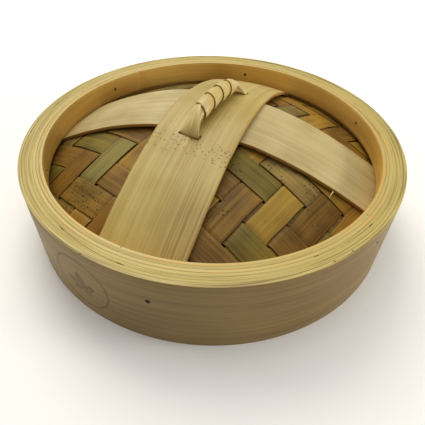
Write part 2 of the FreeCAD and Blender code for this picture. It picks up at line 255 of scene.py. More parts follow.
@dataclass(frozen=True)
class SplitBamboo:
    """Bamboo that was split along its fibres and shaved: satin, with fine streaks that follow the strip."""

    name: str
    pale: str
    deep: str
    cut: str                          # colour of the cut long edges
    stain: str = "#5b3a17"
    cut_reach: float = 0.45 * MM
    fibre: float = 0.55 * MM          # streak width
    fibre_run: float = 34.0 * MM      # streak length
    band: float = 3.6 * MM            # wider, fainter bands of colour
    band_run: float = 160.0 * MM
    cloud: float = 26.0 * MM          # patches where the culm's colour changes
    streak_share: float = 0.55
    stain_share: float = 0.0          # how much of it insects or damp have marked
    stain_size: float = 1.5 * MM
    contrast: float = 0.14            # the lower, the crisper its streaks
    roughness: float = 0.52
    shine: float = 0.5
    relief: float = 0.06 * MM

    def streaks(self, tree: bpy.types.NodeTree, across: float, along: float, detail: float) -> Socket:
        """Add a noise that is drawn out along the strip.

        Args:
            tree: The material's node tree.
            across: Width of one streak, in metres.
            along: Length of one streak, in metres.
            detail: The noise's detail.

        Returns:
            Its value, mostly from 0.3 to 0.7.
        """
        where = add_node(tree, "ShaderNodeUVMap", {}, uv_map=GRAIN_MAP)
        scaled = add_node(tree, "ShaderNodeMapping", {"Vector": where.outputs["UV"],
                                                      "Scale": (1.0 / along, 1.0 / across, 1.0)})
        noise = add_node(tree, "ShaderNodeTexNoise", {"Vector": scaled.outputs["Vector"], "Scale": 1.0,
                                                      "Detail": detail, "Roughness": 0.6})
        return noise.outputs["Fac"]

    def stained(self, tree: bpy.types.NodeTree, colour: Socket, place: Socket) -> Socket:
        """Mark the bamboo with small brown holes and tracks, in patches.

        Args:
            tree: The material's node tree.
            colour: The clean colour.
            place: Object coordinates.

        Returns:
            The marked colour.
        """
        spots = add_node(tree, "ShaderNodeTexVoronoi", {"Vector": place, "Scale": 1.0 / self.stain_size})
        spot = add_node(tree, "ShaderNodeMapRange", {"Value": spots.outputs["Distance"], "From Min": 0.12,
                                                     "From Max": 0.34, "To Min": 1.0, "To Max": 0.0})
        patches = add_node(tree, "ShaderNodeTexNoise", {"Vector": place, "Scale": 0.16 / self.stain_size,
                                                        "Detail": 3.0})
        low = 0.62 - 0.24 * self.stain_share
        patch = add_node(tree, "ShaderNodeMapRange", {"Value": patches.outputs["Fac"], "From Min": low,
                                                      "From Max": low + 0.08})
        both = add_node(tree, "ShaderNodeMath", {0: spot.outputs["Result"], 1: patch.outputs["Result"]},
                        operation="MULTIPLY")
        mixed = add_node(tree, "ShaderNodeMix", {"Factor": both.outputs["Value"], "A": colour,
                                                 "B": linear(self.stain)}, data_type="RGBA")
        return mixed.outputs[2]

    def marked(self, tree: bpy.types.NodeTree, colour: Socket, place: Socket) -> Socket:
        """Leave room for marks that only one kind of piece carries; here there are none."""
        return colour

    def edge_colour(self, tree: bpy.types.NodeTree, place: Socket) -> Socket:
        """Colour of the cut edge: one tone, with faint fibres.

        Args:
            tree: The material's node tree.
            place: Object coordinates.

        Returns:
            The colour of the cut edges.
        """
        noise = add_node(tree, "ShaderNodeTexNoise", {"Vector": place, "Scale": 0.5 / self.fibre})
        shade = add_node(tree, "ShaderNodeMapRange", {"Value": noise.outputs["Fac"], "From Min": 0.3,
                                                      "From Max": 0.7, "To Min": 0.0, "To Max": 0.45})
        mixed = add_node(tree, "ShaderNodeMix", {"Factor": shade.outputs["Result"], "A": linear(self.cut),
                                                 "B": linear(self.deep)}, data_type="RGBA")
        return mixed.outputs[2]

    def material(self) -> bpy.types.Material:
        """Build the material, or fetch it if a piece already has it."""
        known = bpy.data.materials.get(self.name)
        if known is not None:
            return known
        made = bpy.data.materials.new(self.name)
        made.use_nodes = True
        tree = made.node_tree
        tree.nodes.clear()
        place = add_node(tree, "ShaderNodeTexCoord", {}).outputs["Object"]
        fine = self.streaks(tree, self.fibre, self.fibre_run, 3.0)
        broad = self.streaks(tree, self.band, self.band_run, 1.5)
        cloud = add_node(tree, "ShaderNodeTexNoise", {"Vector": place, "Scale": 1.0 / self.cloud,
                                                      "Detail": 2.0}).outputs["Fac"]
        streak = add_node(tree, "ShaderNodeMix", {"Factor": self.streak_share, "A": broad, "B": fine})
        both = add_node(tree, "ShaderNodeMix", {"Factor": 0.35, "A": streak.outputs[0], "B": cloud})
        share = add_node(tree, "ShaderNodeMapRange", {"Value": both.outputs[0],
                                                      "From Min": 0.5 - self.contrast,
                                                      "From Max": 0.5 + self.contrast})
        body = add_node(tree, "ShaderNodeMix", {"Factor": share.outputs["Result"],
                                                "A": linear(self.pale), "B": linear(self.deep)},
                        data_type="RGBA").outputs[2]
        if self.stain_share > 0.0:
            body = self.stained(tree, body, place)
        # Near the long edges the body takes the cut colour. On the handle's rolled strip that colour is
        # partly painted shade in the seams between turns.
        room = add_node(tree, "ShaderNodeAttribute", {}, attribute_name=EDGE_ROOM).outputs["Fac"]
        edge = add_node(tree, "ShaderNodeMapRange", {"Value": room, "From Min": 0.0,
                                                     "From Max": self.cut_reach, "To Min": 1.0,
                                                     "To Max": 0.0})
        edged = add_node(tree, "ShaderNodeMix", {"Factor": edge.outputs["Result"], "A": body,
                                                 "B": self.edge_colour(tree, place)}, data_type="RGBA")
        colour = self.marked(tree, edged.outputs[2], place)
        gloss = add_node(tree, "ShaderNodeMapRange", {"Value": fine, "From Min": 0.3, "From Max": 0.7,
                                                      "To Min": self.roughness - 0.07,
                                                      "To Max": self.roughness + 0.09})
        bump = add_node(tree, "ShaderNodeBump", {"Height": fine, "Strength": 1.0,
                                                 "Distance": self.relief})
        shader = add_node(tree, "ShaderNodeBsdfPrincipled", {"Base Color": colour, "IOR": 1.5,
                                                             "Specular IOR Level": self.shine,
                                                             "Roughness": gloss.outputs["Result"],
                                                             "Normal": bump.outputs["Normal"]})
        add_node(tree, "ShaderNodeOutputMaterial", {"Surface": shader.outputs["BSDF"]})
        return made


@dataclass(frozen=True)
class BentPly(SplitBamboo):
    """A shaved ply, steamed and bent: its cut upper edge shows the fibres as thin concentric lines."""

    line: float = 0.5 * MM            # spacing of the fibre lines on the cut edge
    line_run: float = 30.0 * MM
    dot: float = 0.65 * MM            # small brown knots in the cut edge
    dot_spacing: float = 9.0 * MM

    def edge_colour(self, tree: bpy.types.NodeTree, place: Socket) -> Socket:
        """Thin lines that run round the rim.

        Args:
            tree: The material's node tree.
            place: Object coordinates.

        Returns:
            The colour of the cut edges.
        """
        flat = add_node(tree, "ShaderNodeVectorMath", {0: place, 1: (1.0, 1.0, 0.0)}, operation="MULTIPLY")
        radius = add_node(tree, "ShaderNodeVectorMath", {0: flat.outputs["Vector"]}, operation="LENGTH")
        across = add_node(tree, "ShaderNodeMath", {0: radius.outputs["Value"], 1: 1.0 / self.line},
                          operation="MULTIPLY")
        along = add_node(tree, "ShaderNodeVectorMath", {0: place, 3: 1.0 / self.line_run},
                         operation="SCALE")
        noise = add_node(tree, "ShaderNodeTexNoise", {"Vector": along.outputs["Vector"],
                                                      "W": across.outputs["Value"], "Scale": 1.0,
                                                      "Detail": 3.0}, noise_dimensions="4D")
        share = add_node(tree, "ShaderNodeMapRange", {"Value": noise.outputs["Fac"], "From Min": 0.42,
                                                      "From Max": 0.66})
        mixed = add_node(tree, "ShaderNodeMix", {"Factor": share.outputs["Result"],
                                                 "A": linear(self.cut), "B": linear(self.deep)},
                         data_type="RGBA")
        dots = add_node(tree, "ShaderNodeTexVoronoi", {"Vector": place, "Scale": 1.0 / self.dot_spacing})
        dot = add_node(tree, "ShaderNodeMapRange", {
            "Value": dots.outputs["Distance"], "From Min": 0.6 * self.dot / self.dot_spacing,
            "From Max": self.dot / self.dot_spacing, "To Min": 0.85, "To Max": 0.0})
        dotted = add_node(tree, "ShaderNodeMix", {"Factor": dot.outputs["Result"],
                                                  "A": mixed.outputs[2], "B": linear(self.stain)},
                          data_type="RGBA")
        return dotted.outputs[2]


@dataclass(frozen=True)
class StampedPly(BentPly):
    """The wall's outer ply, with a worn brown stamp: a leaf sprig in a ring."""

    ink: str = "#6a4200"
    bearing: float = math.radians(-102.5)
    radius: float = 100.0 * MM        # of the wall
    height: float = 21.0 * MM
    ring: float = 15.5 * MM
    line_width: float = 0.7 * MM
    peg_bearing: float = math.radians(277.6)
    peg_height: float = 29.0 * MM
    peg_dark_radius: float = 1.4 * MM
    peg_colour: str = "#2a190a"
    stem: float = 0.3                 # of the ring, from its middle down to the leaves' foot
    # Direction of each leaf in degrees, and its length as a share of the ring.
    leaves: tuple[tuple[float, float], ...] = ((90.0, 0.78), (32.0, 0.62), (148.0, 0.62),
                                               (-20.0, 0.42), (200.0, 0.42))

    def marked(self, tree: bpy.types.NodeTree, colour: Socket, place: Socket) -> Socket:
        """Stamp the sprig, and darken the wall around the outer peg.

        Args:
            tree: The material's node tree.
            colour: The clean colour.
            place: Object coordinates.

        Returns:
            The stamped colour.
        """
        spot = add_node(tree, "ShaderNodeSeparateXYZ", {"Vector": place})
        angle = add_node(tree, "ShaderNodeMath", {0: spot.outputs["Y"], 1: spot.outputs["X"]},
                         operation="ARCTAN2")
        along = add_node(tree, "ShaderNodeMath", {0: angle.outputs["Value"], 1: self.radius},
                         operation="MULTIPLY")
        laid = add_node(tree, "ShaderNodeCombineXYZ", {"X": along.outputs["Value"],
                                                       "Y": spot.outputs["Z"]})
        centre = (-self.bearing * self.radius, -self.height, 0.0)
        flat = add_node(tree, "ShaderNodeVectorMath", {0: laid.outputs["Vector"], 1: centre},
                        operation="ADD").outputs["Vector"]
        reach = add_node(tree, "ShaderNodeVectorMath", {0: flat}, operation="LENGTH")
        ink = add_node(tree, "ShaderNodeMath", {0: reach.outputs["Value"], 1: self.ring,
                                                2: self.line_width}, operation="COMPARE").outputs["Value"]
        for degrees, size in self.leaves:
            leaf = self.leaf(tree, flat, math.radians(degrees), size * self.ring)
            ink = add_node(tree, "ShaderNodeMath", {0: ink, 1: leaf}, operation="MAXIMUM").outputs["Value"]
        worn = add_node(tree, "ShaderNodeTexNoise", {"Vector": place, "Scale": 0.5 / MM, "Detail": 3.0})
        held = add_node(tree, "ShaderNodeMapRange", {"Value": worn.outputs["Fac"], "From Min": 0.38,
                                                     "From Max": 0.62, "To Min": 0.5, "To Max": 1.0})
        share = add_node(tree, "ShaderNodeMath", {0: ink, 1: held.outputs["Result"]},
                         operation="MULTIPLY")
        mixed = add_node(tree, "ShaderNodeMix", {"Factor": share.outputs["Value"], "A": colour,
                                                 "B": linear(self.ink)}, data_type="RGBA")
        # Darker ring round the outer peg's hole: it covers the wall face and the mouth of the hole, out to
        # 1.4 mm from the peg's centre.
        peg = (self.radius * math.cos(self.peg_bearing), self.radius * math.sin(self.peg_bearing),
               self.peg_height)
        away = add_node(tree, "ShaderNodeVectorMath", {0: place, 1: peg}, operation="DISTANCE")
        near = add_node(tree, "ShaderNodeMapRange", {"Value": away.outputs["Value"],
                                                     "From Min": 0.7 * self.peg_dark_radius,
                                                     "From Max": self.peg_dark_radius, "To Min": 1.0,
                                                     "To Max": 0.0})
        dark = add_node(tree, "ShaderNodeMix", {"Factor": near.outputs["Result"], "A": mixed.outputs[2],
                                                "B": linear(self.peg_colour)}, data_type="RGBA")
        return dark.outputs[2]

    def leaf(self, tree: bpy.types.NodeTree, flat: Socket, angle: float, length: float) -> Socket:
        """Draw one leaf that grows from a little under the ring's middle.

        Args:
            tree: The material's node tree.
            flat: Place on the unrolled wall, from the ring's middle.
            angle: Direction of the leaf.
            length: Its length, in metres.

        Returns:
            1 on the leaf, else 0.
        """
        low = (0.0, self.stem * self.ring, 0.0)
        start = add_node(tree, "ShaderNodeVectorMath", {0: flat, 1: low}, operation="ADD")
        turned = add_node(tree, "ShaderNodeVectorRotate", {"Vector": start.outputs["Vector"],
                                                           "Angle": -angle}, rotation_type="Z_AXIS")
        unit = add_node(tree, "ShaderNodeVectorMath", {0: turned.outputs["Vector"], 3: 1.0 / length},
                        operation="SCALE")
        spot = add_node(tree, "ShaderNodeSeparateXYZ", {"Vector": unit.outputs["Vector"]})
        rest = add_node(tree, "ShaderNodeMath", {0: 1.0, 1: spot.outputs["X"]}, operation="SUBTRACT")
        room = add_node(tree, "ShaderNodeMath", {0: rest.outputs["Value"], 1: spot.outputs["X"]},
                        operation="MULTIPLY")
        side = add_node(tree, "ShaderNodeMath", {0: spot.outputs["Y"]}, operation="ABSOLUTE")
        inside = add_node(tree, "ShaderNodeMath", {0: side.outputs["Value"], 1: room.outputs["Value"]},
                          operation="LESS_THAN")
        return inside.outputs["Value"]


@dataclass(frozen=True)
class WormedStrap(SplitBamboo):
    """A strap that beetles have pitted in a band before the handle, with browner fibres at one side."""

    pit: float = 1.7 * MM
    pit_colour: str = "#5c3c0c"
    pitted_from: float = -37.0 * MM
    pitted_to: float = -25.0 * MM
    brown: str = "#8c6c34"
    brown_from: float = 2.0 * MM
    brown_to: float = 14.0 * MM
    brown_full: float = -62.9 * MM    # along the strap, where the brown is at its full depth
    brown_fibre: float = 1.1 * MM
    brown_share: float = 0.85

    def marked(self, tree: bpy.types.NodeTree, colour: Socket, place: Socket) -> Socket:
        """Pit and tan the strap.

        Args:
            tree: The material's node tree.
            colour: The clean colour.
            place: Object coordinates.

        Returns:
            The marked colour.
        """
        spot = add_node(tree, "ShaderNodeSeparateXYZ", {"Vector": place})
        side = add_node(tree, "ShaderNodeMapRange", {"Value": spot.outputs["X"],
                                                     "From Min": self.brown_from,
                                                     "From Max": self.brown_to})
        down = add_node(tree, "ShaderNodeMapRange", {"Value": spot.outputs["Y"],
                                                     "From Min": self.pitted_from,
                                                     "From Max": self.brown_full})
        fine = self.streaks(tree, self.brown_fibre, self.fibre_run, 2.0)
        fibres = add_node(tree, "ShaderNodeMapRange", {"Value": fine, "From Min": 0.42,
                                                       "From Max": 0.62})
        tanned = add_node(tree, "ShaderNodeMath", {0: side.outputs["Result"], 1: down.outputs["Result"]},
                          operation="MULTIPLY")
        tan = add_node(tree, "ShaderNodeMath", {0: tanned.outputs["Value"], 1: fibres.outputs["Result"]},
                       operation="MULTIPLY")
        tan = add_node(tree, "ShaderNodeMath", {0: tan.outputs["Value"], 1: self.brown_share},
                       operation="MULTIPLY")
        browned = add_node(tree, "ShaderNodeMix", {"Factor": tan.outputs["Value"], "A": colour,
                                                   "B": linear(self.brown)}, data_type="RGBA")
        middle = (self.pitted_from + self.pitted_to) / 2.0
        band = add_node(tree, "ShaderNodeMath", {0: spot.outputs["Y"], 1: middle,
                                                 2: (self.pitted_to - self.pitted_from) / 2.0},
                        operation="COMPARE")
        pits = add_node(tree, "ShaderNodeTexVoronoi", {"Vector": place, "Scale": 1.0 / self.pit})
        round_pit = add_node(tree, "ShaderNodeMapRange", {"Value": pits.outputs["Distance"],
                                                          "From Min": 0.16, "From Max": 0.3,
                                                          "To Min": 0.9, "To Max": 0.0})
        pitted = add_node(tree, "ShaderNodeMath", {0: band.outputs["Value"],
                                                   1: round_pit.outputs["Result"]},
                          operation="MULTIPLY")
        mixed = add_node(tree, "ShaderNodeMix", {"Factor": pitted.outputs["Value"],
                                                 "A": browned.outputs[2],
                                                 "B": linear(self.pit_colour)}, data_type="RGBA")
        return mixed.outputs[2]


# The wall's outer face is the culm's dull outer layer; the rim's cut edges are pale straw.
OUTER_PLY = StampedPly("weathered bent bamboo", pale="#907538", deep="#6f5522", cut="#beab62",
                       fibre=0.7 * MM, fibre_run=60.0 * MM, cloud=60.0 * MM, roughness=0.5)
MIDDLE_PLY = BentPly("bent bamboo ply", pale="#bcaa64", deep="#9b833e", cut="#bcaa62", roughness=0.56)
INNER_PLY = BentPly("golden bent bamboo", pale="#ebbd62", deep="#c99c44", cut="#baa864",
                    fibre=0.8 * MM, fibre_run=70.0 * MM, cloud=45.0 * MM, roughness=0.45)
STRAP_BAMBOO = SplitBamboo("shaved bamboo strap", pale="#bfae7b", deep="#9a8650", cut="#a5752e",
                           fibre_run=90.0 * MM, streak_share=0.7, contrast=0.11, roughness=0.5)
UPPER_STRAP_BAMBOO = WormedStrap("pitted bamboo strap", pale="#bda964", deep="#9d8439", cut="#a5752e",
                                 fibre_run=90.0 * MM, streak_share=0.7, contrast=0.11, roughness=0.5)
SPLINTER_BAMBOO = SplitBamboo("fresh bamboo splinter", pale="#e8ddb8", deep="#cfc090", cut="#d8c99a",
                              fibre=0.2 * MM)
# The rolled strip's cut colour is darker than the straps'. It is partly the cut edge's own colour and
# partly painted shade in the seams between the binding's turns.
BOUND_BAMBOO = SplitBamboo("rolled bamboo strip", pale="#ccb676", deep="#ab8f48", cut="#7a5218",
                           fibre=0.5 * MM, fibre_run=16.0 * MM, cut_reach=0.3 * MM, roughness=0.42)
PEG_BAMBOO = SplitBamboo("darkened bamboo peg", pale="#553718", deep="#2c190b", cut="#3a2410",
                         fibre=0.3 * MM, roughness=0.6)


class MatTone(Enum):
    """The tones of the mat's split strips; greener ones keep the culm's skin, brown ones are older."""

    HONEY = ("#a07a28", "#74541a", 0.1)
    OCHRE = ("#a08331", "#846520", 0.05)
    OLIVE = ("#7b6a22", "#564616", 0.15)
    GREEN = ("#86783a", "#5c5122", 0.1)
    BROWN = ("#866424", "#583e12", 0.15)
    ORANGE = ("#86611c", "#64460e", 0.15)
    GREY = ("#7f6a34", "#5b491e", 0.3)
    WORN = ("#927a40", "#665224", 0.85)
    EATEN = ("#94722c", "#644a16", 1.0)

    def finish(self) -> SplitBamboo:
        """The finish of this tone."""
        pale, deep, stains = self.value
        return SplitBamboo("split bamboo " + self.name.lower(), pale=pale, deep=deep, cut="#5f4520",
                           stain="#301c08", stain_share=stains, stain_size=1.9 * MM,
                           cut_reach=0.3 * MM, fibre=0.7 * MM, fibre_run=50.0 * MM, band=3.0 * MM,
                           cloud=18.0 * MM, streak_share=0.5, contrast=0.1, roughness=0.55, shine=0.22,
                           relief=0.11 * MM)


# --- the frame's sizes ---------------------------------------------------------------------------------
@dataclass(frozen=True)
class LidFrame:
    """Sizes of the lid that its CAD nodes give, in metres."""

    outer_radius: float
    ply: float                # pitch of the full-height plies
    ring_outside: float
    ring: float               # pitch of the inner rings
    wall_top: float
    groove_top: float
    groove_bottom: float
    seat_top: float
    upper_strap_top: float
    lower_strap_top: float

    @classmethod
    def read(cls) -> "LidFrame":
        """Measure the nodes' boxes."""
        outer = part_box("hoop_1")[1]
        upper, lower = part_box("upper_ring_1"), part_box("lower_ring_1")
        return cls(outer_radius=outer.x, ply=outer.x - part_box("hoop_2")[1].x, ring_outside=upper[1].x,
                   ring=upper[1].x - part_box("upper_ring_2")[1].x, wall_top=outer.z,
                   groove_top=upper[0].z, groove_bottom=lower[1].z, seat_top=lower[0].z,
                   upper_strap_top=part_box("upper_strap")[1].z,
                   lower_strap_top=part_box("lower_strap")[1].z)

    @property
    def opening(self) -> float:
        """Radius inside the two inner rings."""
        return self.ring_outside - 2.0 * self.ring

    @property
    def strap_edge(self) -> float:
        """Height of a strap's top face where it meets the rings above it."""
        return self.groove_top - STRAP_ROOM


# --- strips --------------------------------------------------------------------------------------------
@dataclass
class Strip:
    """A flat strip of bamboo, laid into its shape and given its thickness."""

    name: str
    length: float
    width: float
    thickness: float
    segments: int
    lanes: int
    softening: float = 0.12 * MM
    grain_start: float = 0.0

    def lay(self, place: Place, thin: Callable[[float], float] | None = None) -> bpy.types.Object:
        """Shape the strip.

        Args:
            place: Where a point of the top face goes; both of its values run from -1 to 1.
            thin: Share of the full thickness at a place along the strip.

        Returns:
            The closed strip.
        """
        strip = start_grid(self.name, self.segments, self.lanes)
        mesh = strip.data
        mesh.name = self.name
        self.scale_grain(mesh)
        room = mesh.attributes.new(EDGE_ROOM, "FLOAT", "POINT")
        flat = [(vertex.co.x, vertex.co.y) for vertex in mesh.vertices]
        for index, (_, across) in enumerate(flat):
            room.data[index].value = 0.5 * self.width * (1.0 - abs(across))
        group = ""
        if thin is not None:
            group = strip.vertex_groups.new(name="thickness").name
            for index, (along, _) in enumerate(flat):
                strip.vertex_groups[group].add([index], thin(along), "REPLACE")
        for vertex, (along, across) in zip(mesh.vertices, flat):
            vertex.co = place(along, across)
        apply_modifier(strip, "SOLIDIFY", thickness=self.thickness, offset=-1.0, use_even_offset=True,
                       vertex_group=group, thickness_vertex_group=0.0)
        strip.vertex_groups.clear()
        if self.softening > 0.0:
            apply_modifier(strip, "BEVEL", width=self.softening, segments=2, limit_method="ANGLE",
                           angle_limit=math.radians(50.0), use_clamp_overlap=True)
        return strip

    def scale_grain(self, mesh: bpy.types.Mesh) -> None:
        """Turn the grid's own map into metres along and across the strip.

        Args:
            mesh: The flat grid.
        """
        layer = mesh.uv_layers[0]
        layer.name = GRAIN_MAP
        for corner in layer.data:
            along, across = corner.uv
            corner.uv = (self.grain_start + along * self.length, self.grain_start + across * self.width)


# --- wall ----------------------------------------------------------------------------------------------
@dataclass
class Wall:
    """The plies of the wall: each is a strip bent round, with feathered ends that lap each other."""

    lid: LidFrame
    glue_line: float = 0.04 * MM
    lap: float = 30.0 * MM
    tip: float = 0.3 * MM
    gap: float = 0.1 * MM
    segments: int = 300
    lanes: int = 7
    first_turn: float = math.radians(118.0)
    turn_step: float = math.radians(67.0)
    upper_turn: float = math.radians(80.0)
    lower_turn: float = math.radians(200.0)
    lower_step: float = math.radians(95.0)
    hoops: int = 5
    rings: int = 2
    unevenness: float = 0.22 * MM     # of the plies' upper edges
    least_settle: float = 0.2         # of the unevenness
    wave: float = 0.35                # of the unevenness
    seed: int = 11

    def ply(self, name: str, outside: float, pitch: float, low: float, high: float,
            turn: float, settle: float) -> bpy.types.Object:
        """Bend one ply.

        Args:
            name: The piece's name.
            outside: Its outer radius.
            pitch: Its thickness with the glue line.
            low: Height of its lower edge.
            high: Height of its upper edge.
            turn: Where its lap starts.
            settle: How far its upper edge lies under its neighbours'.

        Returns:
            The ply.
        """
        thickness = pitch - self.glue_line
        lap = self.lap / outside
        whole = TAU + lap
        step = whole / self.segments
        shaved = thickness - self.gap - 2.0 * self.tip
        stray = wander(self.seed + len(name) * 7 + int(outside / MM * 10), self.wave * self.unevenness)

        def body(around: float) -> float:
            """Thickness left at an angle from the ply's start; its two ends share the full one."""
            if around <= lap + step:
                return self.tip + shaved * smooth(around / lap)
            if around <= TAU - step:
                return thickness
            return self.tip + shaved * (1.0 - smooth((around - TAU) / lap))

        def place(along: float, across: float) -> Vector:
            around = (along + 1.0) / 2.0 * whole
            dive = thickness - body(around) if around <= lap + step else 0.0
            radius = outside - dive
            top = high - settle - abs(stray(around / whole)) if settle > 0.0 else high
            height = low + (top - low) * (across + 1.0) / 2.0
            return Vector((radius * math.cos(around + turn), radius * math.sin(around + turn), height))

        def thin(along: float) -> float:
            return body((along + 1.0) / 2.0 * whole) / thickness

        strip = Strip(name, whole * outside, high - low, thickness, self.segments, self.lanes)
        return strip.lay(place, thin)

    def build(self, holes: bpy.types.Object) -> None:
        """Make every ply and bore the peg holes through it.

        Args:
            holes: The drill, one cylinder for each peg.
        """
        lid = self.lid
        chance = random.Random(self.seed)
        for number in range(1, self.hoops + 1):
            outside = lid.outer_radius - (number - 1) * lid.ply
            settle = 0.0 if number == 1 else chance.uniform(self.least_settle, 1.0) * self.unevenness
            turn = self.first_turn + (number - 1) * self.turn_step
            ply = self.ply("hoop_%d_bent" % number, outside, lid.ply, 0.0, lid.wall_top, turn, settle)
            finish = OUTER_PLY if number == 1 else (INNER_PLY if number == self.hoops else MIDDLE_PLY)
            self.finish_ply(ply, holes, finish, Slot.HOOP, "hoop_%d" % number)
        for number in range(1, self.rings + 1):
            outside = lid.ring_outside - (number - 1) * lid.ring
            finish = MIDDLE_PLY if number == 1 else INNER_PLY
            settle = chance.uniform(self.least_settle, 1.0) * self.unevenness
            turn = self.upper_turn + (number - 1) * self.turn_step
            ply = self.ply("upper_ring_%d_bent" % number, outside, lid.ring, lid.groove_top,
                           lid.wall_top, turn, settle)
            self.finish_ply(ply, holes, finish, Slot.RING, "upper_ring_%d" % number)
            turn = self.lower_turn + (number - 1) * self.lower_step
            ply = self.ply("lower_ring_%d_bent" % number, outside, lid.ring, lid.seat_top,
                           lid.groove_bottom, turn, 0.0)
            self.finish_ply(ply, holes, finish, Slot.RING, "lower_ring_%d" % number)

    def finish_ply(self, ply: bpy.types.Object, holes: bpy.types.Object, finish: BentPly, slot: Slot,
                   node: str) -> None:
        """Bore a ply and dress it.

        Args:
            ply: The bent ply.
            holes: The drill.
            finish: Its finish.
            slot: The record's slot.
            node: The CAD node that it stands for.
        """
        apply_modifier(ply, "BOOLEAN", object=holes, operation="DIFFERENCE", solver="EXACT")
        dress(ply, finish.material(), slot.value, node)


@dataclass
class Pegs:
    """Bamboo pins that hold the plies together, cut off just under the wall's faces."""

    lid: LidFrame
    radius: float = 0.95 * MM
    fit: float = 0.03 * MM
    recess: float = 0.35 * MM
    blind_depth: float = 7.0 * MM
    sides: int = 20
    drill_over: float = 0.4         # of a ring's pitch, past each face
    # Bearing in degrees and height in millimetres.
    rim: tuple[tuple[float, float], ...] = ((38.4, 37.4), (98.0, 37.0), (159.3, 37.2), (216.8, 34.0),
                                            (338.0, 36.5))
    outer_only: tuple[tuple[float, float], ...] = ((277.6, 29.0),)
    lower_count: int = 6
    lower_first: float = 8.0

    def pin(self, name: str, radius: float, inner: float, outer: float, azimuth: float,
            height: float) -> bpy.types.Object:
        """Turn one pin.

        Args:
            name: Its name.
            radius: Its radius.
            inner: Distance of its inner end from the lid's axis.
            outer: Distance of its outer end.
            azimuth: Its bearing, in degrees from +X.
            height: Its height.

        Returns:
            The pin, lying along the radius.
        """
        bearing = math.radians(azimuth)
        middle = (inner + outer) / 2.0
        start_piece()
        bpy.ops.mesh.primitive_cylinder_add(
            vertices=self.sides, radius=radius, depth=outer - inner,
            location=(middle * math.cos(bearing), middle * math.sin(bearing), height),
            rotation=(0.0, math.pi / 2.0, bearing))
        pin = bpy.context.object
        pin.name = name
        bpy.ops.object.transform_apply(location=True, rotation=True, scale=True)
        return pin

    def places(self) -> tuple[list, list]:
        """Every pin as inner end, outer end, bearing and height: first the rim's, then the blind ones."""
        lid = self.lid
        through = [(lid.opening, lid.outer_radius, turn, height * MM) for turn, height in self.rim]
        through += [(lid.ring_outside, lid.outer_radius, turn, height * MM)
                    for turn, height in self.outer_only]
        middle = (lid.seat_top + lid.groove_bottom) / 2.0
        step = 360.0 / self.lower_count
        blind = [(lid.opening, lid.opening + self.blind_depth, self.lower_first + index * step, middle)
                 for index in range(self.lower_count)]
        return through, blind

    def drill(self) -> bpy.types.Object:
        """Make the cutter for every peg hole."""
        through, blind = self.places()
        bit = self.radius + self.fit
        over = self.drill_over * self.lid.ring
        cutters = [self.pin("drill", bit, inner - over, outer + over, turn, height)
                   for inner, outer, turn, height in through]
        cutters += [self.pin("drill", bit, inner - over, outer, turn, height)
                    for inner, outer, turn, height in blind]
        return join("drill", cutters)

    def rounded(self, pin: bpy.types.Object) -> bpy.types.Object:
        """Hollow a pin's ends a little, as a snapped and sanded end is, and round their rims.

        Args:
            pin: The plain pin.

        Returns:
            The same pin.
        """
        take(pin)
        bpy.ops.object.mode_set(mode="EDIT")
        bpy.ops.mesh.select_mode(type="FACE")
        bpy.ops.mesh.select_all(action="DESELECT")
        bpy.ops.object.mode_set(mode="OBJECT")
        for face in pin.data.polygons:
            face.select = len(face.vertices) == self.sides
        bpy.ops.object.mode_set(mode="EDIT")
        bpy.ops.mesh.bevel(offset=0.18 * MM, segments=2)
        bpy.ops.mesh.inset(thickness=0.25 * MM, depth=-0.12 * MM)
        bpy.ops.object.mode_set(mode="OBJECT")
        return pin

    def build(self) -> None:
        """Make the rim's pegs and the lower rings' pegs."""
        through, blind = self.places()
        pins = [self.rounded(self.pin("pin", self.radius, inner + self.recess, outer - self.recess,
                                      turn, height)) for inner, outer, turn, height in through]
        dress(join("rim_pegs_cut", pins), PEG_BAMBOO.material(), Slot.PEG.value, "rim_pegs")
        pins = [self.rounded(self.pin("pin", self.radius, inner + self.recess, outer - self.fit,
                                      turn, height)) for inner, outer, turn, height in blind]
        dress(join("lower_ring_pegs_cut", pins), PEG_BAMBOO.material(), Slot.PEG.value,
              "lower_ring_pegs")


